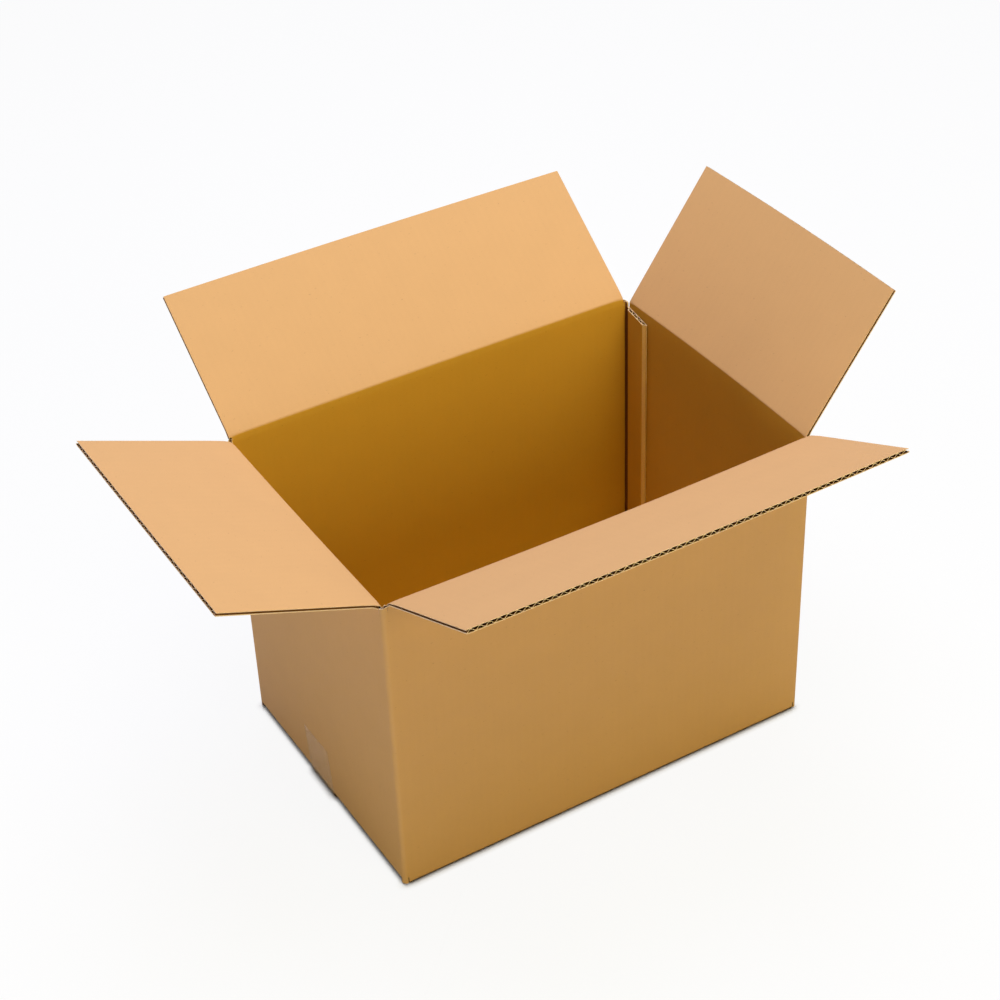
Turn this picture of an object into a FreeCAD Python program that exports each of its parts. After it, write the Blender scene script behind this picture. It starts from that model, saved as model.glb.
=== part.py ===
# An open shipping carton. One die-cut blank of single-wall corrugated board is folded into
# four walls and glued along a tab inside the back right corner. Its four bottom flaps are
# folded in and taped along their seam. The four top flaps stand open, each on the crease
# at the top of its own wall.
#
# Millimetres. The origin is the centre of the underside, +X runs right along the long
# walls, +Y to the back and +Z up.

import FreeCAD, Part
import math
import os

from FreeCAD import Vector

os.makedirs("parts", exist_ok=True)

# Driving sizes of the folded box
length = 450.0           # outside, left to right
width = 300.0            # outside, front to back
crease_height = 330.0    # floor to the creases of the long top flaps
board = 4.0              # thickness of the corrugated board
inside_radius = 0.5      # left on the inner face where board is folded square
slot_margin = 1.0        # flat board between a corner fold and the edge of a flap
slot_depth = 1.0         # the corner slots run this far past the creases of the short flaps
corner_foot = 1.5        # the corner folds end this far above the floor
layer_gap = 0.3          # air between two flaps that lie on one another
seam_gap = 0.8           # left between the two long flaps where they meet
crease_gap = 0.15        # half of the play in the scored crease of a top flap
side_play = 0.3          # left at each side of a top flap when it is closed

# How far each top flap stands above the horizontal
front_open_degrees = 24.9
back_open_degrees = 36.9
left_open_degrees = 21.2
right_open_degrees = 53.9

# The back top flap lies this far left of the middle of its wall, because the wall is
# shorter by one board at its right end, where it folds inwards into the tab
back_flap_shift = board

# Section of the corrugated board
liner = 0.35             # thickness of each face paper
medium = 0.3             # thickness of the fluted paper
flute_pitch = 8.45       # from one flute to the next
flute_crest = 1.4        # flat of a flute where it is glued to a face paper
crushed_run = 2.0        # board pressed solid beside the crease of a top flap

# Glue tab, on the inner face of the right wall
tab_width = 33.5         # from the inner corner to the cut edge
tab_taper = 6.0          # its ends slope by this much from the fold to the cut edge
tab_play = 0.5           # left above and below the tab, to the short flaps when closed

# Seam tape
tape_width = 48.0
tape_thickness = 0.12
tape_tail = 55.0         # height to which it is turned up on the short walls
tape_offset = 12.0       # middle of the tape, behind the seam
tape_lean = 6.5          # the left tail leans this far to the back at its top

# Sizes that follow from the driving ones
fold_radius = board + inside_radius
flap_inset = fold_radius + slot_margin
long_panel = length - 2 * flap_inset
short_panel = width - 2 * flap_inset
short_crease_drop = board + layer_gap
short_crease_height = crease_height - short_crease_drop
slot_height = short_crease_height - slot_depth
long_flap_length = (width - seam_gap) / 2
short_flap_length = long_flap_length + short_crease_drop
tab_fold_x = length / 2 - board
tab_start_y = width / 2 - fold_radius - slot_margin / 2

UP = Vector(0, 0, 1)


def band(path, inner_side_of, thickness, bend_inside):
    """Face of a folded sheet seen on edge. Its outer line follows path and always turns
    to the same side; the inner line runs one thickness to that side. Each turn is a pair
    of arcs about one centre, bend_inside being the radius of the inner arc.
    inner_side_of(direction) gives the unit vector from the outer to the inner line."""
    outer_radius = bend_inside + thickness
    steps = [(b - a).normalize() for a, b in zip(path, path[1:])]
    outer = [path[0]]
    inner = [path[0] + inner_side_of(steps[0]) * thickness]
    for corner, before, after in zip(path[1:], steps, steps[1:]):
        side_before = inner_side_of(before)
        side_after = inner_side_of(after)
        tangent = outer_radius * math.tan(before.getAngle(after) / 2)
        start = corner - before * tangent
        end = corner + after * tangent
        centre = start + side_before * outer_radius
        to_crown = (side_before + side_after).normalize() * -1
        outer += [start, centre + to_crown * outer_radius, end]
        inner += [start + side_before * thickness, centre + to_crown * bend_inside,
                  end + side_after * thickness]
    outer.append(path[-1])
    inner.append(path[-1] + inner_side_of(steps[-1]) * thickness)
    edges = folded_line(outer) + folded_line(inner)
    edges.append(Part.makeLine(outer[0], inner[0]))
    edges.append(Part.makeLine(outer[-1], inner[-1]))
    return Part.Face(Part.Wire(Part.__sortEdges__(edges)))


def folded_line(points):
    """Edges through points, which are a start, three points for each arc, and an end."""
    edges = []
    place = points[0]
    for i in range(1, len(points) - 1, 3):
        start, crown, end = points[i:i + 3]
        if place.distanceToPoint(start) > 1e-6:
            edges.append(Part.makeLine(place, start))
        edges.append(Part.Arc(start, crown, end).toShape())
        place = end
    if place.distanceToPoint(points[-1]) > 1e-6:
        edges.append(Part.makeLine(place, points[-1]))
    return edges


def polygon(points):
    """Flat face with straight edges."""
    return Part.Face(Part.makePolygon(points + [points[0]]))


def turned(shape, quarter_turns):
    """Copy of a shape made for the right wall, turned on to another wall."""
    copy = shape.copy()
    copy.rotate(Vector(0, 0, 0), UP, 90 * quarter_turns)
    return copy


# Quarter turns from the right wall to each wall
RIGHT, BACK, LEFT, FRONT = range(4)


def wall_with_bottom_flap(reach, span, crease, floor, flap_length):
    """A wall and its bottom flap, as the right wall. Its outer face is at x = reach, its
    side edges are at the two y values of span, its top flap is hinged at height crease,
    and its bottom flap folds in at height floor."""
    strip_foot = crease - crease_gap - 2 * board
    path = [Vector(reach, span[0], strip_foot), Vector(reach, span[0], floor),
            Vector(reach - flap_length, span[0], floor)]
    sheet = band(path, lambda step: step.cross(Vector(0, -1, 0)), board, inside_radius)
    body = sheet.extrude(Vector(0, span[1] - span[0], 0))
    return body.fuse(crease_strip(reach, span, strip_foot, crease))


def crease_strip(reach, span, foot, crease):
    """Top of a wall, from height foot to its crease. It is bevelled from the crease on
    the outer face down to the inner face, to clear the bevelled root of the flap."""
    top = crease - crease_gap
    section = polygon([Vector(reach, span[0], foot), Vector(reach, span[0], top),
                       Vector(reach - board, span[0], top - board),
                       Vector(reach - board, span[0], foot)])
    return section.extrude(Vector(0, span[1] - span[0], 0))


def corner_fold(x, y, x_end, y_end):
    """Upright fold between two sheets whose outer faces meet at (x, y). It reaches to
    x_end along the one and to y_end along the other."""
    path = [Vector(x_end, y, corner_foot), Vector(x, y, corner_foot),
            Vector(x, y_end, corner_foot)]
    turn = Vector(0, 0, math.copysign(1, (x_end - x) * (y_end - y)))
    sheet = band(path, lambda step: step.cross(turn), board, inside_radius)
    return sheet.extrude(Vector(0, 0, slot_height - corner_foot))


def glue_tab():
    """Tab that the back wall folds into, flat against the right wall's inner face."""
    edge_y = width / 2 - board - tab_width
    top = short_crease_height - board - tab_play
    foot = board + layer_gap + board + tab_play
    outline = polygon([Vector(tab_fold_x, tab_start_y, foot),
                       Vector(tab_fold_x, edge_y, foot + tab_taper),
                       Vector(tab_fold_x, edge_y, top - tab_taper),
                       Vector(tab_fold_x, tab_start_y, top)])
    return outline.extrude(Vector(-board, 0, 0))


def carton():
    """Walls, bottom flaps and glue tab: the folded blank without its top flaps."""
    long_half = long_panel / 2
    short_half = short_panel / 2
    back_end = tab_fold_x - flap_inset
    side_wall = wall_with_bottom_flap(length / 2, (-short_half, short_half),
                                      short_crease_height, board + layer_gap,
                                      short_flap_length)
    front_wall = wall_with_bottom_flap(width / 2, (-long_half, long_half),
                                       crease_height, 0, long_flap_length)
    back_wall = wall_with_bottom_flap(width / 2, (-back_end, long_half),
                                      crease_height, 0, long_flap_length)
    back_ledge = crease_strip(width / 2, (long_half, long_half + back_flap_shift),
                              slot_height, crease_height)
    pieces = [
        turned(side_wall, LEFT),
        turned(front_wall, FRONT),
        turned(back_wall, BACK),
        turned(back_ledge, BACK),
        corner_fold(-length / 2, -width / 2, -long_half, -short_half),
        corner_fold(length / 2, -width / 2, long_half, -short_half),
        corner_fold(-length / 2, width / 2, -long_half, short_half),
        corner_fold(tab_fold_x, width / 2, back_end, tab_start_y),
        glue_tab(),
    ]
    blank = turned(side_wall, RIGHT).multiFuse(pieces).removeSplitter()
    recess = Part.makeBox(long_panel, tape_width, tape_thickness,
                          Vector(-long_half, tape_offset - tape_width / 2, 0))
    return blank.cut(recess)


def flute_cell(middle, pitch, wide_face, half):
    """Corners of the air space in one flute, or of the half of it on one side of middle
    (half is -1 or 1, or 0 for the whole). Its wide side lies on the face paper at height
    0 or board, as wide_face says."""
    rise = board - 2 * liner - medium
    lean = pitch / 2 - flute_crest
    flank = medium * math.hypot(lean, rise) / rise
    wide = (pitch - flute_crest) / 2 - flank
    narrow = flute_crest / 2
    low = liner
    high = liner + rise
    if wide_face > 0:
        low = board - liner
        high = low - rise
    left = 0 if half > 0 else -1
    right = 0 if half < 0 else 1
    return [Vector(0, middle + left * wide, low), Vector(0, middle + left * narrow, high),
            Vector(0, middle + right * narrow, high), Vector(0, middle + right * wide, low)]


def fluted_section(span):
    """Section through the board across its flutes: two face papers and the fluted paper
    between them. The side edges are cut through the middle of a flute."""
    count = max(2, round(span / flute_pitch))
    pitch = span / count
    edge = span / 2
    left_half = flute_cell(-edge, pitch, 0, 1)
    right_half = flute_cell(edge, pitch, 0, -1)
    outline = [Vector(0, -edge, 0), Vector(0, edge, 0)]
    outline += [right_half[3], right_half[0], right_half[1], right_half[2]]
    outline += [Vector(0, edge, board), Vector(0, -edge, board)]
    outline += [left_half[1], left_half[2], left_half[3], left_half[0]]
    wires = [Part.makePolygon(outline + [outline[0]])]
    for i in range(2 * count - 1):
        cell = flute_cell((i + 1) * pitch / 2 - edge, pitch, i % 2 == 0, 0)
        wires.append(Part.makePolygon(cell + [cell[0]]))
    return Part.makeFace(wires, "Part::FaceMakerBullseye")


def top_flap(flap_width, flap_length):
    """A top flap lying flat, outwards along +X from its crease at the origin, with its
    inner face up. The flutes are open at the free edge and crushed at the crease."""
    crushed = board + crease_gap + crushed_run
    fluted = fluted_section(flap_width).extrude(Vector(flap_length - crushed, 0, 0))
    fluted.translate(Vector(crushed, 0, 0))
    half = flap_width / 2
    root = polygon([Vector(crease_gap, -half, 0), Vector(crushed, -half, 0),
                    Vector(crushed, -half, board), Vector(crease_gap + board, -half, board)])
    return root.extrude(Vector(0, flap_width, 0)).fuse(fluted).removeSplitter()


def placed_flap(flap, reach, crease, opening, side, shift=0):
    """Top flap standing open on the crease of its wall."""
    copy = flap.copy()
    copy.rotate(Vector(0, 0, 0), Vector(0, 1, 0), -opening)
    copy.translate(Vector(reach, shift, crease))
    return turned(copy, side)


def seam_tape():
    """Clear tape under the seam, turned up on both short walls."""
    reach = length / 2 + tape_thickness
    turn_top = flap_inset + tape_thickness
    front_edge = tape_offset - tape_width / 2
    path = [Vector(-reach, front_edge, turn_top), Vector(-reach, front_edge, 0),
            Vector(reach, front_edge, 0), Vector(reach, front_edge, turn_top)]
    strip = band(path, lambda step: step.cross(Vector(0, 1, 0)), tape_thickness, flap_inset)
    tape = strip.extrude(Vector(0, tape_width, 0))
    for x, lean in ((-reach, tape_lean), (length / 2, 0)):
        tail = polygon([Vector(x, front_edge, turn_top),
                        Vector(x, front_edge + tape_width, turn_top),
                        Vector(x, front_edge + tape_width + lean, tape_tail),
                        Vector(x, front_edge + lean, tape_tail)])
        tape = tape.fuse(tail.extrude(Vector(tape_thickness, 0, 0)))
    return tape.removeSplitter()


long_flap = top_flap(long_panel - 2 * side_play, long_flap_length)
short_flap = top_flap(short_panel - 2 * side_play, short_flap_length)

nodes = {
    "carton": carton(),
    "seam_tape": seam_tape(),
    "front_flap": placed_flap(long_flap, width / 2, crease_height, front_open_degrees, FRONT),
    "back_flap": placed_flap(long_flap, width / 2, crease_height, back_open_degrees, BACK,
                             back_flap_shift),
    "left_flap": placed_flap(short_flap, length / 2, short_crease_height, left_open_degrees, LEFT),
    "right_flap": placed_flap(short_flap, length / 2, short_crease_height, right_open_degrees, RIGHT),
}

for name, shape in nodes.items():
    solid = shape.Solids[0] if len(shape.Solids) == 1 else shape
    solid.exportStep("parts/" + name + ".step")
    print(name, "solids", len(shape.Solids), "valid", shape.isValid(),
          "volume", round(shape.Volume / 1000, 2), "cm3")
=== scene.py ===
import math

import bpy
import numpy as np
from mathutils import Matrix, Vector


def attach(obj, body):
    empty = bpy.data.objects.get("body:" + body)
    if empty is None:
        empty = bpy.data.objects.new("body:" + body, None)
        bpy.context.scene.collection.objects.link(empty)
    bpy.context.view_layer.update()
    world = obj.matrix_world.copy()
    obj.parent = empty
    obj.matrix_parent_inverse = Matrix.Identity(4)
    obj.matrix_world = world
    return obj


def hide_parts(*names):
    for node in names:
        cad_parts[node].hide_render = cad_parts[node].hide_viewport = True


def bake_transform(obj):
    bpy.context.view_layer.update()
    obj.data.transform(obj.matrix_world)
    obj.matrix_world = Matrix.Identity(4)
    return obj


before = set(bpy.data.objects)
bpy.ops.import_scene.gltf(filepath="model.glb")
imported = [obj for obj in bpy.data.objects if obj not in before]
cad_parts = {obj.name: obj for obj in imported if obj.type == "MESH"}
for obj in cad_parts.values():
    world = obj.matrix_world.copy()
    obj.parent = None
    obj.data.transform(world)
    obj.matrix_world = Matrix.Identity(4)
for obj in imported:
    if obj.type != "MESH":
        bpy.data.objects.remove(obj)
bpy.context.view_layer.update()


# Camera. It looks down on the box from the front left, from about two metres away, and
# leans a little to the right.
camera_place = (-0.8424, -1.4343, 1.4798)
camera_azimuth = math.radians(-29.796)
camera_elevation = math.radians(36.287)
camera_lean = math.radians(-2.371)
camera_data = bpy.data.cameras.new("camera")
camera_data.lens = 79.06
camera_data.sensor_width = 36.0
camera = bpy.data.objects.new("camera", camera_data)
camera.matrix_world = (Matrix.Translation(camera_place)
                       @ Matrix.Rotation(camera_azimuth, 4, "Z")
                       @ Matrix.Rotation(math.pi / 2 - camera_elevation, 4, "X")
                       @ Matrix.Rotation(camera_lean, 4, "Z"))
bpy.context.scene.collection.objects.link(camera)
bpy.context.scene.camera = camera


# The blank: one die-cut sheet of single-wall corrugated board, folded into four walls and
# glued along a tab inside the back right corner. Its bottom flaps are folded in, the short
# ones first. All its sizes are in millimetres; u runs along the outer faces of the walls,
# from the back end of the right wall over the front to the tab, and v up the sheet.
MM = 0.001
length = 450.0
width = 300.0
board = 4.0
fold_radius = 4.5                       # outer radius of an upright or bottom fold
quarter = fold_radius * math.pi / 2     # length of such a fold along the outer face
slot_margin = 1.0                       # flat board beside a fold, before a flap begins
layer_gap = 0.3                         # between the long and the short bottom flaps
tab_width = 33.5
tab_taper = 6.0                         # height lost at each end of the tab's cut edge
slot_height = 325.8                     # where the slots of the top flaps end
slot_rise = 2.6                         # a slot ends this much higher beside a long wall
long_crease = 330.0
short_crease = 325.7
crease_zone = 6.5                       # wall below a crease that turns with the flap
tab_top = short_crease - 4.5            # height of the tab's top end, beside its fold
liner = 0.48                            # thickness of each face paper
medium = 0.50                           # fluted paper, measured straight through the board
flute_pitch = 8.45
columns_per_flute = 8
sheet_step = 1000.0                     # on the map, each paper lies this much further on

right_wall_end = width / 2 - fold_radius - slot_margin
straight_runs = [right_wall_end + width / 2 - fold_radius,
                 length - 2 * fold_radius,
                 width - 2 * fold_radius,
                 length - board - 2 * fold_radius,
                 tab_width - fold_radius + board]
wall_starts = np.cumsum([0] + [run + quarter for run in straight_runs[:-1]])
RIGHT, FRONT, LEFT, BACK, TAB = range(5)


def along_plan(u):
    """Outer line of the folded blank seen from above: straight walls joined by quarter
    circles that turn right. Returns x, y and the direction into the box at distances u."""
    x = np.full(u.shape, length / 2)
    y = np.full(u.shape, right_wall_end)
    turned = np.zeros(u.shape)
    for wall, (start, run) in enumerate(zip(wall_starts, straight_runs)):
        heading = -math.pi / 2 * (wall + 1)
        ahead = np.clip(u - start, 0, run)
        swing = np.clip((u - start - run) / fold_radius, 0, math.pi / 2)
        if wall == TAB:
            swing = swing * 0
        ahead = ahead + fold_radius * np.sin(swing)
        aside = fold_radius * (1 - np.cos(swing))
        x = x + ahead * math.cos(heading) + aside * math.sin(heading)
        y = y + ahead * math.sin(heading) - aside * math.cos(heading)
        turned = turned + swing
    inwards = -math.pi - turned
    return x, y, np.cos(inwards), np.sin(inwards)


def place(u, depth, height):
    """Points at a depth into the box from the outer line, and at a height."""
    x, y, into_x, into_y = along_plan(u)
    return np.stack([x + into_x * depth, y + into_y * depth, height + 0 * depth], axis=-1)


def ease(values, low, high):
    """0 below low and 1 above high, with a smooth rise between them."""
    part = np.clip((values - low) / (high - low), 0, 1)
    return part * part * (3 - 2 * part)


def wall_part(u):
    """Number of the wall at each u, and how far along its straight run u is, from 0 to 1."""
    wall = np.searchsorted(wall_starts, u, side="right") - 1
    runs = np.array(straight_runs)[wall]
    return wall, np.clip((u - wall_starts[wall]) / runs, 0, 1)


# How far each wall bows outwards in its middle and at its crease, in the order of the walls.
wall_bulge = np.array([0.9, 0.8, -0.8, 0.7, 0.0])
crease_bow = np.array([2.4, 3.4, 0.8, 1.0, 0.0])
bulge_foot = 60.0      # height above which they do


def bulge(u, v):
    """How far a wall bows outwards: a half wave across it, times a half wave from its foot
    to its crease, and as much again as the open flap pulls the crease."""
    wall, across = wall_part(u)
    rise = np.clip((v - bulge_foot) / (short_crease - bulge_foot), 0, 1)
    outwards = wall_bulge[wall] * np.sin(math.pi * rise) + crease_bow[wall] * rise ** 2
    return outwards * np.sin(math.pi * across)


def wall_profile(v, through, floor):
    """Depth and height of a wall and its bottom flap: upright, then a quarter circle, then
    flat at height floor. through is the distance from the outer face into the board."""
    top = floor + fold_radius
    swing = np.clip((top - v) / fold_radius, 0, math.pi / 2)
    flat = np.clip(top - v - quarter, 0, None)
    depth = fold_radius - (fold_radius - through) * np.cos(swing) + flat
    height = top - (fold_radius - through) * np.sin(swing) + np.clip(v - top, 0, None)
    return depth, height


inner_floor = board + layer_gap
lowest_full_row = inner_floor + fold_radius
long_bottom_flap = 149.6
short_bottom_flap = 153.9
corner_foot = 1.5                       # height at which an upright fold's cut end begins
wall_rows = np.array([20, 45, 60, 90, 125, 160, 195, 230, 265, 295, 310,
                      short_crease - crease_zone, tab_top,
                      long_crease - crease_zone, slot_height])
SHORT_TOP, TAB_TOP, LONG_TOP, SLOT_END = range(11, 15)     # rows that end a piece of board


def column_rows(floor, reach):
    """Values of v up one wall column, from the free edge of its bottom flap. Long and short
    walls get the same number of rows."""
    fold_end = floor + fold_radius - quarter
    flap = np.linspace(fold_end - reach + fold_radius, fold_end, 7)
    below = np.linspace(fold_end, floor + fold_radius, 9 if floor == 0 else 10)[1:]
    rest = [lowest_full_row] if floor == 0 else []
    return np.concatenate([flap, below, rest, wall_rows])


long_rows = column_rows(0, long_bottom_flap)
short_rows = column_rows(inner_floor, short_bottom_flap)
full_row = len(long_rows) - len(wall_rows) - 1      # row at lowest_full_row
corner_row = full_row - 4                           # row at corner_foot in the folds
corner_rows = long_rows.copy()
corner_rows[corner_row:full_row + 1] = np.linspace(corner_foot, lowest_full_row, 5)


def carton_v(u):
    """Grid of v for the columns at u. The top row rises over a fold from the short wall to
    the long one. In the tab the rows are drawn together towards its cut edge, where it is
    lower by its taper at both ends."""
    wall, across = wall_part(u)
    swing = (u - wall_starts[wall] - np.array(straight_runs)[wall]) / quarter
    towards_long = np.clip(np.where(wall % 2 == 0, swing, 1 - swing), 0, 1)
    in_fold = across >= 1
    rows = np.where(wall % 2 == 0, short_rows[:, None], long_rows[:, None])
    rows = np.where(in_fold | (across <= 0) & (wall > 0), corner_rows[:, None], rows)
    rows[-1] = rows[-1] + slot_rise * towards_long
    middle = (lowest_full_row + tab_top) / 2
    squeeze = 1 - 2 * tab_taper * across / (tab_top - lowest_full_row)
    return np.where(wall == TAB, middle + (corner_rows[:, None] - middle) * squeeze, rows)


tab_fold = wall_starts[TAB] - quarter / 2
tab_cut = wall_starts[TAB] + straight_runs[TAB]
rolled_edge = 3.0      # width of the tab's cut edge, where the knife rolled the paper down
roll_depth = 2.4       # thickness lost there
crush_depth = 2.2      # thickness lost at the tab's fold
cut_waver = 0.4        # how far the tab's cut edge wanders
waver_run = 17.0       # length of that waver, over two pi
groove = [-1.2, 0.6, 6.4, 8.2]     # where the groove falls and rises, from the tab's fold
groove_shade_span = [-0.6, 6.8]          # the part of it given the dark fluting paper as painted shade
below_floor = -20.0    # a floor so low that a fold's columns run straight down


def carton_surfaces(u):
    """Outer and inner face of the folded blank. The board is crushed at the tab's fold,
    and its inner face paper is rolled down towards the outer one at the tab's cut edge."""
    v = carton_v(u)
    wall, across = wall_part(u)
    floor = np.where(wall % 2 == 0, inner_floor, 0.0)
    in_fold = (across >= 1) | (across <= 0) & (wall > 0) | (wall == TAB)
    floor = np.where(in_fold, below_floor, floor)
    from_cut = tab_cut - u + cut_waver * np.sin(v / waver_run)
    rolled = (wall == TAB) * (1 - ease(from_cut, 0, rolled_edge))
    from_fold = u - tab_fold
    crushed = ease(from_fold, *groove[:2]) * (1 - ease(from_fold, *groove[2:]))
    through = board - roll_depth * rolled - crush_depth * crushed
    faces = []
    for t in (0 * through, through):
        depth, height = wall_profile(v, t, floor)
        faces.append(place(u, depth - bulge(u, v), height))
    return faces[0], faces[1], v


def carton_cells(middles):
    """Which cells of the blank's grid are board: the walls stop below the creases of the
    top flaps, the folds between two slots, and the tab at its tapered ends."""
    wall, across = wall_part(middles)
    from_start = middles - wall_starts[wall]
    from_end = np.array(straight_runs)[wall] - from_start
    row = np.arange(len(long_rows) - 1)[:, None]
    wall_row = row - full_row - 1
    in_fold = from_end < 0
    beside_fold = (from_end < slot_margin) | (from_start < slot_margin) & (wall > 0)
    cells = wall_row < np.where(wall % 2 == 0, SHORT_TOP, LONG_TOP)
    cells = np.where(beside_fold, (row >= full_row) & (wall_row < SLOT_END), cells)
    cells = np.where(in_fold, (row >= corner_row) & (wall_row < SLOT_END), cells)
    return np.where(wall == TAB, (row >= full_row) & (wall_row < TAB_TOP), cells)


FACE, CUT_EDGE, FLUTING_AND_GROOVE_SHADE = range(3)      # numbers of the three paper materials on a mesh


def carton_paper(u):
    """Material number of the inner face at u: the dark fluting paper as painted shade in the
    bottom of the tab's fold, the pale rolled edge of the tab, partly painted highlight,
    or plain paper."""
    from_fold = u - tab_fold
    # Painted shade: the groove's inner face gets the dark fluting paper, for the deep shadow
    # of the fold.
    in_groove_shade = (from_fold > groove_shade_span[0]) & (from_fold < groove_shade_span[1])
    # The tab's rolled edge takes the pale cut-edge paper: partly the crushed paper's own paler
    # colour, partly painted highlight.
    at_cut = u > tab_cut - rolled_edge
    return np.where(in_groove_shade, FLUTING_AND_GROOVE_SHADE, np.where(at_cut, CUT_EDGE, FACE))


def plain_paper(u):
    """Material number of an inner face that is all plain paper."""
    return np.full(u.shape, FACE)


def carton_marks():
    """Columns at the ends of each wall, beside its folds, across its folds, and spaced
    evenly over it."""
    marks = [np.linspace(0, straight_runs[RIGHT] - slot_margin, 14)]
    for wall in (FRONT, LEFT, BACK):
        run = straight_runs[wall]
        count = 14 if wall == LEFT else 20
        marks.append(wall_starts[wall] + np.linspace(slot_margin, run - slot_margin, count))
    for wall in (RIGHT, FRONT, LEFT, BACK):
        end = wall_starts[wall] + straight_runs[wall]
        marks.append(end + np.linspace(0, quarter, 9))
    marks.append(wall_starts[TAB] + np.array([0.8, 1.6, 2.4, 3.2, 4.0, 4.8, 9.0]))
    marks.append(tab_cut - np.array([16, 8, 3, 2.2, 1.4, 0.7, 0]))
    return np.sort(np.concatenate(marks))


def with_flutes(marks):
    """The marks, and between them columns that divide each flute evenly. The flutes are
    stretched a little so that a whole number of them fits between the ends."""
    count = round((marks[-1] - marks[0]) / flute_pitch) * columns_per_flute
    fine = np.linspace(marks[0], marks[-1], count + 1)
    step = fine[1] - fine[0]
    at_mark = np.abs(fine[:, None] - marks[None, :]).min(axis=1) < 0.45 * step
    return np.sort(np.concatenate([fine[~at_mark], marks]))


def paper_shell(front, back, cells):
    """One paper as a closed shell: the cells in use on its front face, the same cells on
    its back face, and a rim of quads wherever a used cell meets an unused one. Returns the
    points, the quads, and 1 for each quad of the rim."""
    rows, columns = front.shape[:2]
    index = np.arange(rows * columns).reshape(rows, columns)
    other = rows * columns
    a, b = index[:-1, :-1][cells], index[:-1, 1:][cells]
    d, c = index[1:, :-1][cells], index[1:, 1:][cells]
    faces = [np.stack([a, d, c, b], axis=1), np.stack([a, b, c, d], axis=1) + other]
    sides = np.pad(cells, ((0, 0), (1, 1)))
    starts = sides[:, 1:] & ~sides[:, :-1]
    ends = sides[:, :-1] & ~sides[:, 1:]
    ledges = np.pad(cells, ((1, 1), (0, 0)))
    feet = ledges[1:] & ~ledges[:-1]
    tops = ledges[:-1] & ~ledges[1:]
    rims = []
    for first, second in ((index[1:][starts], index[:-1][starts]),
                          (index[:-1][ends], index[1:][ends]),
                          (index[:, :-1][feet], index[:, 1:][feet]),
                          (index[:, 1:][tops], index[:, :-1][tops])):
        rims.append(np.stack([first, second, second + other, first + other], axis=1))
    quads = np.concatenate(faces + rims)
    on_rim = np.arange(len(quads)) >= 2 * len(a)
    points = np.concatenate([front.reshape(-1, front.shape[2]),
                             back.reshape(-1, back.shape[2])])
    used, quads = np.unique(quads, return_inverse=True)
    return points[used], quads.reshape(-1, 4), on_rim.astype(int)


def board_mesh(name, marks, surfaces, cells_of, inner_paper, materials):
    """Corrugated board as three paper shells: two face papers, and between them the fluted
    one, whose place through the board is a cosine of u, next to the outer face at both
    ends. The map of the mesh holds u and v in metres, and each paper has its own stretch
    of it."""
    shells = []
    flutes = round((marks[-1] - marks[0]) / flute_pitch)
    for layer, columns in enumerate((marks, with_flutes(marks), marks)):
        outer, inner, v = surfaces(columns)
        across = inner - outer
        thick = np.linalg.norm(across, axis=-1, keepdims=True)
        across = across / thick
        cells = cells_of((columns[1:] + columns[:-1]) / 2)
        turns = flutes * (columns - marks[0]) / (marks[-1] - marks[0])
        wave = (0.5 - 0.5 * np.cos(2 * math.pi * turns))[None, :, None]
        flute = liner + medium / 2 + (thick - 2 * liner - medium) * wave
        near = (0 * thick, flute - medium / 2, thick - liner)[layer]
        far = (0 * thick + liner, flute + medium / 2, thick)[layer]
        sheet_map = np.stack([columns + 0 * v + sheet_step * layer, v], axis=-1)
        front = np.concatenate([outer + across * near, sheet_map], axis=-1)
        back = np.concatenate([outer + across * far, sheet_map], axis=-1)
        shells.append(paper_shell(front, back, cells))
    counts = np.cumsum([0] + [len(points) for points, _, _ in shells[:-1]])
    points = np.concatenate([points for points, _, _ in shells])
    quads = np.concatenate([quads + n for n, (_, quads, _) in zip(counts, shells)])
    slots = [on_rim for _, _, on_rim in shells]
    slots[1] = np.where(slots[1], CUT_EDGE, FLUTING_AND_GROOVE_SHADE)
    inner_points, inner_quads, _ = shells[2]
    inner_u = inner_points[inner_quads][:, :, 3].mean(axis=1) - 2 * sheet_step
    slots[2] = np.where(slots[2], CUT_EDGE, inner_paper(inner_u))
    slots = np.concatenate(slots)
    return quad_mesh(name, points[:, :3], quads, slots, points[:, 3:], materials)


sharp_angle = math.radians(38)     # edges sharper than this aren't smoothed over


def quad_mesh(name, points, quads, slots, point_map, materials):
    """Object from arrays of points in millimetres, quads, a material number for each quad
    and a map place for each point."""
    mesh = bpy.data.meshes.new(name)
    mesh.vertices.add(len(points))
    mesh.vertices.foreach_set("co", (points * MM).ravel())
    mesh.loops.add(quads.size)
    mesh.loops.foreach_set("vertex_index", quads.ravel())
    mesh.polygons.add(len(quads))
    mesh.polygons.foreach_set("loop_start", np.arange(0, quads.size, 4))
    mesh.polygons.foreach_set("material_index", slots)
    mesh.update(calc_edges=True)
    mesh.uv_layers.new(name="sheet")
    mesh.uv_layers["sheet"].data.foreach_set("uv", (point_map * MM)[quads.ravel()].ravel())
    mesh.shade_smooth()
    mesh.set_sharp_from_angle(angle=sharp_angle)
    for material in materials:
        mesh.materials.append(material)
    piece = bpy.data.objects.new(name, mesh)
    bpy.context.scene.collection.objects.link(piece)
    return piece


def plug(tree, socket, value):
    """Give an input its value: a link where the value is another node's socket."""
    if isinstance(value, bpy.types.NodeSocket):
        tree.links.new(value, socket)
    else:
        socket.default_value = value


def node(tree, kind, **inputs):
    """New node in a tree. A keyword with a capital is an input, the others are settings of
    the node."""
    made = tree.nodes.new(kind)
    for key, value in inputs.items():
        if key[0].islower():
            setattr(made, key, value)
        else:
            plug(tree, made.inputs[key.replace("_", " ")], value)
    return made


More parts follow.
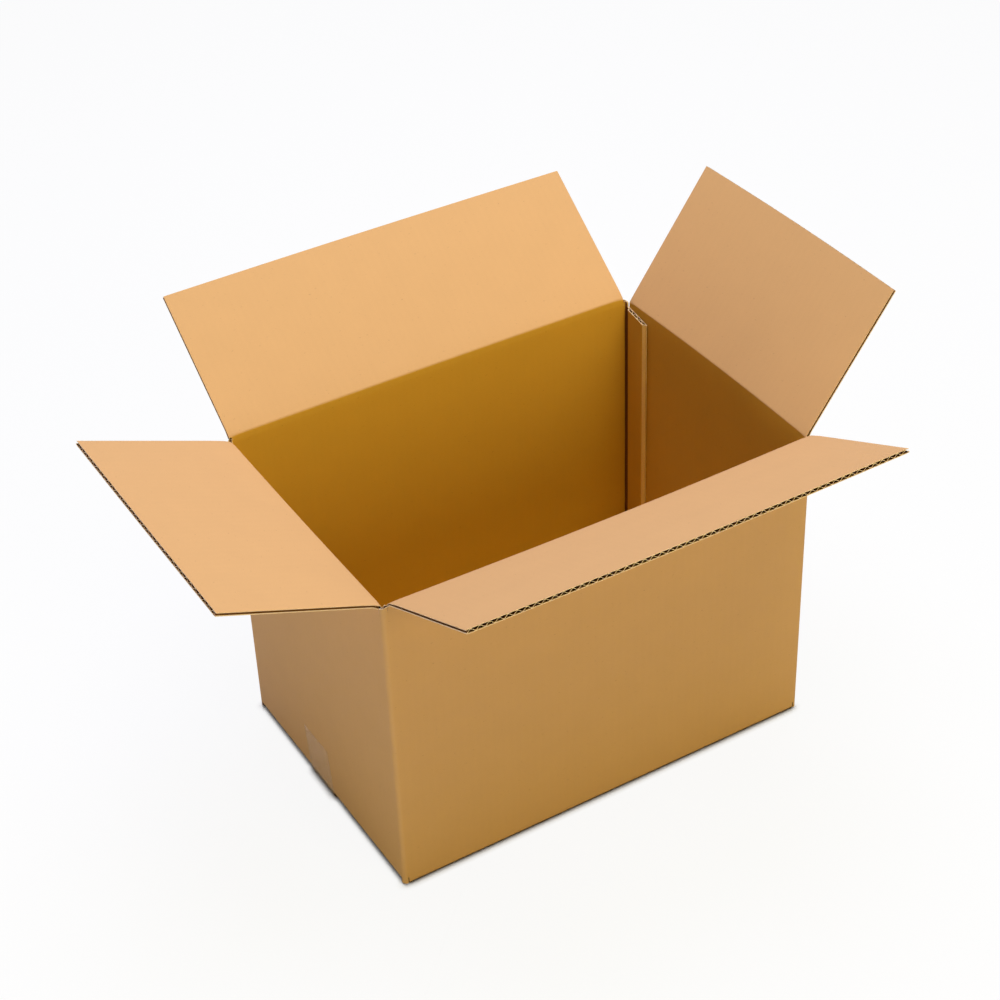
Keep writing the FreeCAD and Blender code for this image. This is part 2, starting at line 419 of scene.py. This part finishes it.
def group_tree(name, inputs, outputs):
    """Empty node group with named sockets, given as pairs of name and type, and its two
    end nodes."""
    tree = bpy.data.node_groups.new(name, "ShaderNodeTree")
    for label, kind in inputs:
        tree.interface.new_socket(label, in_out="INPUT", socket_type="NodeSocket" + kind)
    for label, kind in outputs:
        tree.interface.new_socket(label, in_out="OUTPUT", socket_type="NodeSocket" + kind)
    return tree, tree.nodes.new("NodeGroupInput"), tree.nodes.new("NodeGroupOutput")


def mix_colour(tree, share, first, second, blend="MIX"):
    """Socket with two colours mixed."""
    made = tree.nodes.new("ShaderNodeMix")
    made.data_type = "RGBA"
    made.blend_type = blend
    plug(tree, made.inputs[0], share)
    plug(tree, made.inputs[6], first)
    plug(tree, made.inputs[7], second)
    return made.outputs[2]


def scaled(tree, value, low, high):
    """Socket that runs from low to high as value goes from 0 to 1."""
    made = node(tree, "ShaderNodeMapRange", Value=value, To_Min=low, To_Max=high)
    return made.outputs["Result"]


def arithmetic(tree, operation, *values):
    """Socket with the result of one arithmetic node."""
    made = node(tree, "ShaderNodeMath", operation=operation)
    for socket, value in zip(made.inputs, values):
        plug(tree, socket, value)
    return made.outputs[0]


def kraft_fibres():
    """Group for unbleached paper: broad clouds, fine fibres that lie along the sheet, and
    a few dark flecks. Puts out the colour and a height from 0 to 1."""
    tree, start, end = group_tree(
        "kraft_fibres",
        [("Sheet", "Vector"), ("Paper", "Color"), ("Clouds", "Float"), ("Fibres", "Float")],
        [("Colour", "Color"), ("Height", "Float")])
    sheet = start.outputs["Sheet"]
    clouds = node(tree, "ShaderNodeTexNoise", Vector=sheet, Scale=28.0, Detail=4.0,
                  Roughness=0.6)
    streaks = node(tree, "ShaderNodeMapping", Vector=sheet, Scale=(420.0, 1500.0, 1.0))
    fibres = node(tree, "ShaderNodeTexNoise", Vector=streaks.outputs[0], Scale=1.0,
                  Detail=3.0, Roughness=0.65)
    fleck_map = node(tree, "ShaderNodeMapping", Vector=sheet, Scale=(260.0, 520.0, 1.0))
    flecks = node(tree, "ShaderNodeTexNoise", Vector=fleck_map.outputs[0], Scale=1.0,
                  Detail=1.0)
    fleck = node(tree, "ShaderNodeMapRange", Value=flecks.outputs["Fac"], From_Min=0.71,
                 From_Max=0.80, To_Min=0.0, To_Max=0.22)
    cloud_part = arithmetic(tree, "MULTIPLY", scaled(tree, clouds.outputs["Fac"], -0.6, 0.6),
                            start.outputs["Clouds"])
    both_parts = arithmetic(tree, "MULTIPLY_ADD",
                            scaled(tree, fibres.outputs["Fac"], -0.6, 0.6),
                            start.outputs["Fibres"], cloud_part)
    level = arithmetic(tree, "ADD", both_parts, 1.0)
    shade = node(tree, "ShaderNodeCombineColor", Red=level, Green=level, Blue=level)
    paper = mix_colour(tree, 1.0, start.outputs["Paper"], shade.outputs[0], "MULTIPLY")
    dark = mix_colour(tree, fleck.outputs["Result"], paper, (0.16, 0.075, 0.028, 1.0))
    tree.links.new(dark, end.inputs["Colour"])
    tree.links.new(fibres.outputs["Fac"], end.inputs["Height"])
    return tree


def flute_lines():
    """Group for the faint washboard ribs that the flutes make up a face paper: a sine of u
    with the flutes' pitch, made uneven. Puts out the ribs from 0 to 1, for a bump and for
    painted shade."""
    tree, start, end = group_tree("flute_lines", [("Sheet", "Vector")], [("Ribs", "Float")])
    parts = node(tree, "ShaderNodeSeparateXYZ", Vector=start.outputs["Sheet"])
    angle = arithmetic(tree, "MULTIPLY", parts.outputs["X"], 2 * math.pi / (flute_pitch * MM))
    wave = arithmetic(tree, "SINE", angle)
    patches = node(tree, "ShaderNodeTexNoise", Vector=start.outputs["Sheet"], Scale=22.0,
                   Detail=2.0)
    uneven = arithmetic(tree, "MULTIPLY", wave, scaled(tree, patches.outputs["Fac"], 0.1, 0.9))
    ribs = node(tree, "ShaderNodeMapRange", Value=uneven, From_Min=-1.0, From_Max=1.0)
    tree.links.new(ribs.outputs["Result"], end.inputs["Ribs"])
    return tree


inner_papers = 1.9     # where on the map the inner face papers begin, in metres
inside_shade_fade = 0.3272     # and where up them the painted shade of the inner walls begins to fade


def inside_wall_shade():
    """Group for the painted shade inside the box: 1 on the inner faces of the walls, the third
    paper's part of the map, below the creases, and 0 on all other paper."""
    tree, start, end = group_tree("inside_wall_shade", [("Sheet", "Vector")], [("Share", "Float")])
    parts = node(tree, "ShaderNodeSeparateXYZ", Vector=start.outputs["Sheet"])
    inner = arithmetic(tree, "GREATER_THAN", parts.outputs["X"], inner_papers)
    below = node(tree, "ShaderNodeMapRange", Value=parts.outputs["Y"], From_Min=inside_shade_fade,
                 From_Max=long_crease * MM, To_Min=1.0, To_Max=0.0)
    both = arithmetic(tree, "MULTIPLY", inner, below.outputs["Result"])
    tree.links.new(both, end.inputs["Share"])
    return tree


fibre_group = kraft_fibres()
flute_group = flute_lines()
inside_shade_group = inside_wall_shade()
paper_shine = 0.2
rib_height = 0.04      # height of a rib in the washboard bump, in millimetres


def paper_material(name, paper, inside_shade_tint, clouds, fibres, ribs, roughness, bump_mm):
    """Material of one paper of the board, from the three groups: its colour, the painted shade
    colour that the inner faces of the walls are multiplied by, the strength of the clouds,
    the fibres and the ribs, the roughness, and the height of the fibres."""
    material = bpy.data.materials.new(name)
    material.use_nodes = True
    tree = material.node_tree
    shader = tree.nodes["Principled BSDF"]
    sheet = node(tree, "ShaderNodeUVMap", uv_map="sheet")
    fibre = node(tree, "ShaderNodeGroup", node_tree=fibre_group, Sheet=sheet.outputs[0],
                 Paper=(*paper, 1.0), Clouds=clouds, Fibres=fibres)
    flute = node(tree, "ShaderNodeGroup", node_tree=flute_group, Sheet=sheet.outputs[0])
    # The ribs darken the colour by up to their strength: painted shade of the washboard,
    # besides its bump.
    level = scaled(tree, flute.outputs["Ribs"], 1 - ribs, 1.0)
    shade = node(tree, "ShaderNodeCombineColor", Red=level, Green=level, Blue=level)
    colour = mix_colour(tree, 1.0, fibre.outputs["Colour"], shade.outputs[0], "MULTIPLY")
    # Painted shade: the inner faces of the walls are multiplied by the inside tint, a deeper,
    # less blue colour, which fades out just below the creases.
    inside = node(tree, "ShaderNodeGroup", node_tree=inside_shade_group, Sheet=sheet.outputs[0])
    colour = mix_colour(tree, inside.outputs["Share"], colour,
                        mix_colour(tree, 1.0, colour, (*inside_shade_tint, 1.0), "MULTIPLY"))
    tree.links.new(colour, shader.inputs["Base Color"])
    rough = scaled(tree, fibre.outputs["Height"], roughness - 0.06, roughness + 0.06)
    tree.links.new(rough, shader.inputs["Roughness"])
    shader.inputs["Specular IOR Level"].default_value = paper_shine
    grain = node(tree, "ShaderNodeBump", Height=fibre.outputs["Height"], Strength=1.0,
                 Distance=bump_mm * MM)
    washboard = node(tree, "ShaderNodeBump", Height=flute.outputs["Ribs"], Strength=1.0,
                     Distance=rib_height * MM * (ribs > 0), Normal=grain.outputs[0])
    tree.links.new(washboard.outputs[0], shader.inputs["Normal"])
    return material


# The third colour of each paper is painted shade for the inner faces of the walls.
kraft = paper_material("kraft_face", (0.620, 0.362, 0.157), (1.0, 0.97, 0.30),
                       0.05, 0.08, 0.012, 0.76, 0.02)
cut_edge = paper_material("kraft_cut_edge", (0.84, 0.62, 0.43), (1.0, 0.95, 0.70),
                          0.10, 0.30, 0.0, 0.9, 0.05)
fluting_and_groove_shade = paper_material("kraft_fluting_and_groove_shade", (0.20, 0.085, 0.030), (1.0, 1.0, 1.0),
                         0.12, 0.16, 0.0, 0.85, 0.05)
papers = [kraft, cut_edge, fluting_and_groove_shade]

carton = board_mesh("carton_board", carton_marks(), carton_surfaces, carton_cells,
                    carton_paper, papers)
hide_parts("carton")
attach(carton, "carton")


# The four top flaps: each is the end of its wall, beyond a crease that was rolled into the
# board, so its inner face paper runs round the ridge without a break. The flutes are open
# at the free edge and at the two side cuts.
side_play = 0.3        # gap between a slot's side and a flap's side cut
long_top_flap = 149.6
short_top_flap = 153.9
back_flap_shift = 4.0  # how far the back flap stands past its wall, over the slot
strip_margin = 0.4     # a flap's strip of wall begins this far before the wall's own edge
ridge_run = 2.5        # half of the sheet that goes round the ridge of the inner face
ridge_round = 1.0      # distance from the ridge's sharp corner at which its curve begins
valley_round = 1.0     # rounding of the outer face in the crease
crease_press = 0.2     # thickness that the crease takes away from the wall
side_pinch = 0.6       # thickness lost at a side cut, pressed by the knife
pinch_zone = 2.5       # over this much of the flap
pinch_start = 6.0      # in full from this far beyond the crease
crush_zone = 10.0      # how far from a crease its flap is thinner
corner_dip = 1.0       # how far the ends of a crease sink towards the slots
dip_zone = 9.0         # over this much of the crease
crease_steps = 21      # rows across a crease
flap_steps = 12        # rows from there to the free edge
row_gap = 0.05         # rows that a slot's end cuts short stay this far apart


def flap_profile(s, opening, inner):
    """Distance out of the box and height, from the crease, at distance s from it along the
    sheet, negative down the wall. The outer face is a hyperbola in the crease. The inner
    face leans out over the top of the wall, then goes round a ridge, a quadratic curve
    about the corner of its two straight lines, and on along the flap."""
    along = np.array([math.cos(opening), math.sin(opening)])
    through = np.array([-math.sin(opening), math.cos(opening)])
    if not inner:
        bend = np.hypot(s, valley_round) / 2
        return (s / 2 + bend)[..., None] * along + (s / 2 - bend)[..., None] * [0, 1]
    pressed = board - crease_press
    corner_run = (board * math.sin(opening) - pressed) / math.cos(opening)
    corner = board * through + corner_run * along
    low = corner - [0, ridge_round]
    high = corner + ridge_round * along
    t = np.clip((s + ridge_run) / (2 * ridge_run), 0, 1)[..., None]
    ridge = (1 - t) ** 2 * low + 2 * t * (1 - t) * corner + t ** 2 * high
    depth = board - crease_press * ease(s, -crease_zone, -ridge_run)
    rise = np.interp(s, [-crease_zone, -ridge_run], [-crease_zone, low[1]])
    run = np.interp(s, [ridge_run, crease_zone], [corner_run + ridge_round, crease_zone])
    run = run + np.clip(s - crease_zone, 0, None)
    wall = np.stack([-depth, rise], axis=-1)
    flap = board * through + run[..., None] * along
    face = np.where(s[..., None] < -ridge_run, wall, ridge)
    return np.where(s[..., None] > ridge_run, flap, face)


def beside_wall(wall, u, out, height):
    """Points at a distance out of the box from a wall's own straight line, which runs on
    past its folds."""
    middle = wall_starts[wall] + straight_runs[wall] / 2
    x, y, into_x, into_y = along_plan(np.array(middle))
    along = u - middle
    return np.stack([x - into_y * along - into_x * out, y + into_x * along - into_y * out,
                     height + 0 * out], axis=-1)


def flap_surfaces_of(wall, opening, crease, reach, curl, crush, low_end):
    """Function that gives the faces of one flap at u. low_end(u) is where its strip of
    wall begins, curl how far its free edge bends up in the middle, and crush the share of
    the thickness lost at the crease. On the map every crease is at the same height."""
    crease_rows = np.linspace(-crease_zone, crease_zone, crease_steps)
    flap_rows = crease_zone + (reach - crease_zone) * np.linspace(0, 1, flap_steps)[1:]
    rows = np.concatenate([crease_rows, flap_rows])[:, None]
    spaced = row_gap * np.arange(len(rows))[:, None]

    def surfaces(u):
        s = np.where(rows > 0, rows + 0 * u, np.maximum(rows, low_end(u) + spaced))
        across = (u - u[0]) / (u[-1] - u[0]) - 0.5
        lift = curl * ease(s, 0, reach) * (1 - 4 * across ** 2)
        outwards = bulge(u, crease + np.minimum(s, 0))
        from_side = np.minimum(u - u[0], u[-1] - u)
        pinch = side_pinch / 2 * (1 - ease(from_side, 0, pinch_zone)) * ease(s, 0, pinch_start)
        near_crease = 1 - ease(np.abs(s), 0, crease_zone)
        dip = corner_dip * (1 - ease(from_side, 0, dip_zone)) * near_crease
        crushed = crush * (1 - ease(np.abs(s), 0, np.where(s < 0, crease_zone, crush_zone)))
        outer_face = flap_profile(s, opening, False)
        faces = []
        for inner in (False, True):
            point = flap_profile(s, opening, inner)
            point = point + crushed[..., None] * (outer_face - point)
            raised = lift + (-pinch if inner else pinch)
            out = point[..., 0] + outwards - raised * math.sin(opening)
            rise = point[..., 1] + raised * math.cos(opening) - dip
            faces.append(beside_wall(wall, u, out, crease + rise))
        return faces[0], faces[1], long_crease + s

    return surfaces


def all_cells(rows):
    """Function that marks every cell of a grid with that many rows as board."""
    return lambda middles: np.ones((rows - 1, len(middles)), bool)


near_side = np.array([0.8, 1.6, 2.5, 4.5, 6.5, 9.0])    # extra columns at a side cut
top_flaps = [
    # name, wall, degrees above the horizontal, curl in mm, crush
    ("front", FRONT, 24.9, 0.8, 0.60),
    ("back", BACK, 36.9, 1.0, 0.15),
    ("left", LEFT, 21.2, 0.7, 0.25),
    ("right", RIGHT, 53.9, -0.6, 0.0),
]
for side, wall, degrees, curl, crush in top_flaps:
    opening = math.radians(degrees)
    is_long = wall in (FRONT, BACK)
    crease = long_crease if is_long else short_crease
    reach = long_top_flap if is_long else short_top_flap
    panel = (length if is_long else width) - 2 * (fold_radius + slot_margin)
    wall_edge = wall_starts[wall] + (0 if wall == RIGHT else slot_margin)
    start = wall_edge + side_play - (back_flap_shift if side == "back" else 0)
    end = start + panel - 2 * side_play
    marks = [np.linspace(start, end, 22 if is_long else 16), start + near_side,
             end - near_side]
    if side == "back":
        marks.append(wall_edge - np.array([0.0, strip_margin - 0.1]))
    foot = slot_height + slot_rise - crease

    def low_end(u):
        return np.where(u < wall_edge - strip_margin, foot, -crease_zone)

    surfaces = flap_surfaces_of(wall, opening, crease, reach, curl, crush, low_end)
    flap = board_mesh(side + "_flap_board", np.sort(np.concatenate(marks)), surfaces,
                      all_cells(crease_steps + flap_steps - 1), plain_paper, papers)
    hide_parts(side + "_flap")
    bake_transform(flap)


# The seam tape: a strip of clear packing tape under the seam of the long bottom flaps,
# turned up on both short walls. Its left tail was pressed on a little askew.
tape_width = 48.0
tape_thickness = 0.1
tape_lift = 0.03       # clearance between the board and the tape
tape_tail = 55.0       # height of a turned-up end
tape_offset = 12.0     # how far the tape lies behind the middle of the box
tape_lean = 6.5        # how far the left tail leans back at its end
tape_turn = 5.5        # radius at the foot of a wall
tape_flat = length / 2 - tape_turn
tape_bend = tape_turn * math.pi / 2
half_tape = tape_flat + tape_bend + tape_tail - tape_turn


def tape_line(distance):
    """Half of the tape seen on edge, from the middle of the seam: flat, a quarter circle
    at the foot of the wall, then upright. Returns x, z and the outward direction."""
    swing = np.clip((distance - tape_flat) / tape_turn, 0, math.pi / 2)
    up = np.clip(distance - tape_flat - tape_bend, 0, None)
    x = np.clip(distance, None, tape_flat) + tape_turn * np.sin(swing)
    z = tape_turn * (1 - np.cos(swing)) + up
    return x, z, np.sin(swing), -np.cos(swing)


tape_stations = np.concatenate([np.linspace(0, tape_flat, 12),
                                tape_flat + np.linspace(0, tape_bend, 9)[1:],
                                np.linspace(tape_flat + tape_bend, half_tape, 12)[1:]])
tape_stations = np.concatenate([-tape_stations[:0:-1], tape_stations])
tape_across = np.linspace(-tape_width / 2, tape_width / 2, 13)


def tape_face(lift):
    """Grid of points on one face of the tape, lift away from the board."""
    x, z, out_x, out_z = tape_line(np.abs(tape_stations))
    side = np.sign(tape_stations)
    x = side * (x + out_x * lift)
    z = z + out_z * lift
    lean = tape_lean * np.clip((z - tape_turn) / (tape_tail - tape_turn), 0, None) * (side < 0)
    y = tape_offset + tape_across[:, None] + lean
    grid = np.stack([x + 0 * y, y, z + 0 * y], axis=-1)
    sheet_map = np.stack([tape_stations + 0 * y, tape_across[:, None] + 0 * y], axis=-1)
    return np.concatenate([grid, sheet_map], axis=-1)


def tape_material():
    """Clear film with glue behind it: it dulls and cools the board a little, reflects the
    lights softly, and has long faint wrinkles and small trapped bubbles."""
    material = bpy.data.materials.new("clear_tape")
    material.use_nodes = True
    tree = material.node_tree
    shader = tree.nodes["Principled BSDF"]
    sheet = node(tree, "ShaderNodeUVMap", uv_map="sheet")
    stretched = node(tree, "ShaderNodeMapping", Vector=sheet.outputs[0],
                     Scale=(60.0, 340.0, 1.0))
    wrinkles = node(tree, "ShaderNodeTexNoise", Vector=stretched.outputs[0], Scale=1.0,
                    Detail=2.0)
    bubbles = node(tree, "ShaderNodeTexNoise", Vector=sheet.outputs[0], Scale=420.0,
                   Detail=2.0)
    colour = mix_colour(tree, scaled(tree, bubbles.outputs["Fac"], 0.0, 0.5),
                        (0.94, 0.77, 0.58, 1.0), (1.0, 0.84, 0.66, 1.0))
    tree.links.new(colour, shader.inputs["Base Color"])
    tree.links.new(scaled(tree, bubbles.outputs["Fac"], 0.12, 0.24), shader.inputs["Alpha"])
    tree.links.new(scaled(tree, wrinkles.outputs["Fac"], 0.18, 0.34),
                   shader.inputs["Roughness"])
    crinkle = node(tree, "ShaderNodeBump", Height=wrinkles.outputs["Fac"], Strength=1.0,
                   Distance=0.05 * MM)
    tree.links.new(crinkle.outputs[0], shader.inputs["Normal"])
    return material


tape_near = tape_face(tape_lift + tape_thickness)
tape_far = tape_face(tape_lift)
tape_cells = np.ones((len(tape_across) - 1, len(tape_stations) - 1), bool)
tape_points, tape_quads, tape_rim = paper_shell(tape_far, tape_near, tape_cells)
tape = quad_mesh("seam_tape_strip", tape_points[:, :3], tape_quads, 0 * tape_rim,
                 tape_points[:, 3:], [tape_material()])
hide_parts("seam_tape")
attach(tape, "carton")


# Studio: a pale floor that runs on into the white surroundings, and soft lights.
def stage_material(name):
    """White for the camera, mixed with the plain floor so that it keeps the object's shadow,
    and with a painted contact shadow, dark brown and less white, close to where the board
    stands."""
    material = bpy.data.materials.new(name)
    material.use_nodes = True
    tree = material.node_tree
    tree.nodes.clear()
    # Painted contact shadow: an ambient occlusion node turns the floor dark brown within
    # millimetres of the board.
    contact_shade = node(tree, "ShaderNodeAmbientOcclusion", Distance=0.0075, samples=4)
    open_floor = node(tree, "ShaderNodeMapRange", Value=contact_shade.outputs["AO"],
                      From_Min=0.50, From_Max=0.84)
    colour = mix_colour(tree, open_floor.outputs["Result"], (0.17, 0.13, 0.10, 1.0),
                        (0.80, 0.80, 0.80, 1.0))
    paint = node(tree, "ShaderNodeBsdfDiffuse", Color=colour)
    glow = node(tree, "ShaderNodeEmission", Color=(1.0, 1.0, 1.0, 1.0), Strength=1.0)
    rays = node(tree, "ShaderNodeLightPath")
    share = arithmetic(tree, "MULTIPLY", rays.outputs["Is Camera Ray"],
                       scaled(tree, open_floor.outputs["Result"], 0.0, 0.92))
    mix = tree.nodes.new("ShaderNodeMixShader")
    plug(tree, mix.inputs[0], share)
    plug(tree, mix.inputs[1], paint.outputs[0])
    plug(tree, mix.inputs[2], glow.outputs[0])
    node(tree, "ShaderNodeOutputMaterial", Surface=mix.outputs[0])
    return material


floor_half = 30.0
floor_height = -0.0004      # just under the tape
floor_mesh = bpy.data.meshes.new("floor")
floor_mesh.from_pydata([(-floor_half, -floor_half, floor_height),
                        (floor_half, -floor_half, floor_height),
                        (floor_half, floor_half, floor_height),
                        (-floor_half, floor_half, floor_height)], [], [(0, 1, 2, 3)])
floor_mesh.materials.append(stage_material("pale_floor"))
floor = bpy.data.objects.new("floor", floor_mesh)
bpy.context.scene.collection.objects.link(floor)

world = bpy.data.worlds.new("surroundings")
world.use_nodes = True
bpy.context.scene.world = world
sky = world.node_tree
sky.nodes.clear()
sky_light = (0.01, 0.01, 0.01)      # white to the eye, but it hardly lights the box
sky_rays = node(sky, "ShaderNodeLightPath")
sky_seen = arithmetic(sky, "MAXIMUM", sky_rays.outputs["Is Camera Ray"],
                      sky_rays.outputs["Is Glossy Ray"])
sky_colour = mix_colour(sky, sky_seen, (*sky_light, 1.0), (1.0, 1.0, 1.0, 1.0))
sky_shine = node(sky, "ShaderNodeBackground", Color=sky_colour, Strength=1.0)
node(sky, "ShaderNodeOutputWorld", Surface=sky_shine.outputs[0])

aimed_at = (0, 0, 0.25)
lights = [
    # name, place, size, watts, colour
    ("overhead", (0.3, 0.6, 3.0), 2.0, 70.0, (1.0, 1.03, 1.52)),
    ("over the front", (0.2, -0.9, 3.0), 1.6, 30.0, (1.0, 0.94, 0.15)),
    ("front", (0.6, -3.2, 1.6), 1.6, 49.0, (1.0, 0.87, 0.46)),
    ("low on the left", (-3.0, -0.4, 0.4), 0.7, 21.0, (1.0, 0.97, 0.80)),
]
for name, spot, size, watts, colour in lights:
    lamp = bpy.data.lights.new(name, "AREA")
    lamp.shape = "DISK"
    lamp.size = size
    lamp.energy = watts
    lamp.color = colour
    shown = bpy.data.objects.new(name, lamp)
    aim = Vector(aimed_at) - Vector(spot)
    shown.matrix_world = (Matrix.Translation(spot)
                          @ aim.to_track_quat("-Z", "Y").to_matrix().to_4x4())
    bpy.context.scene.collection.objects.link(shown)

bpy.context.scene.view_settings.view_transform = "Standard"
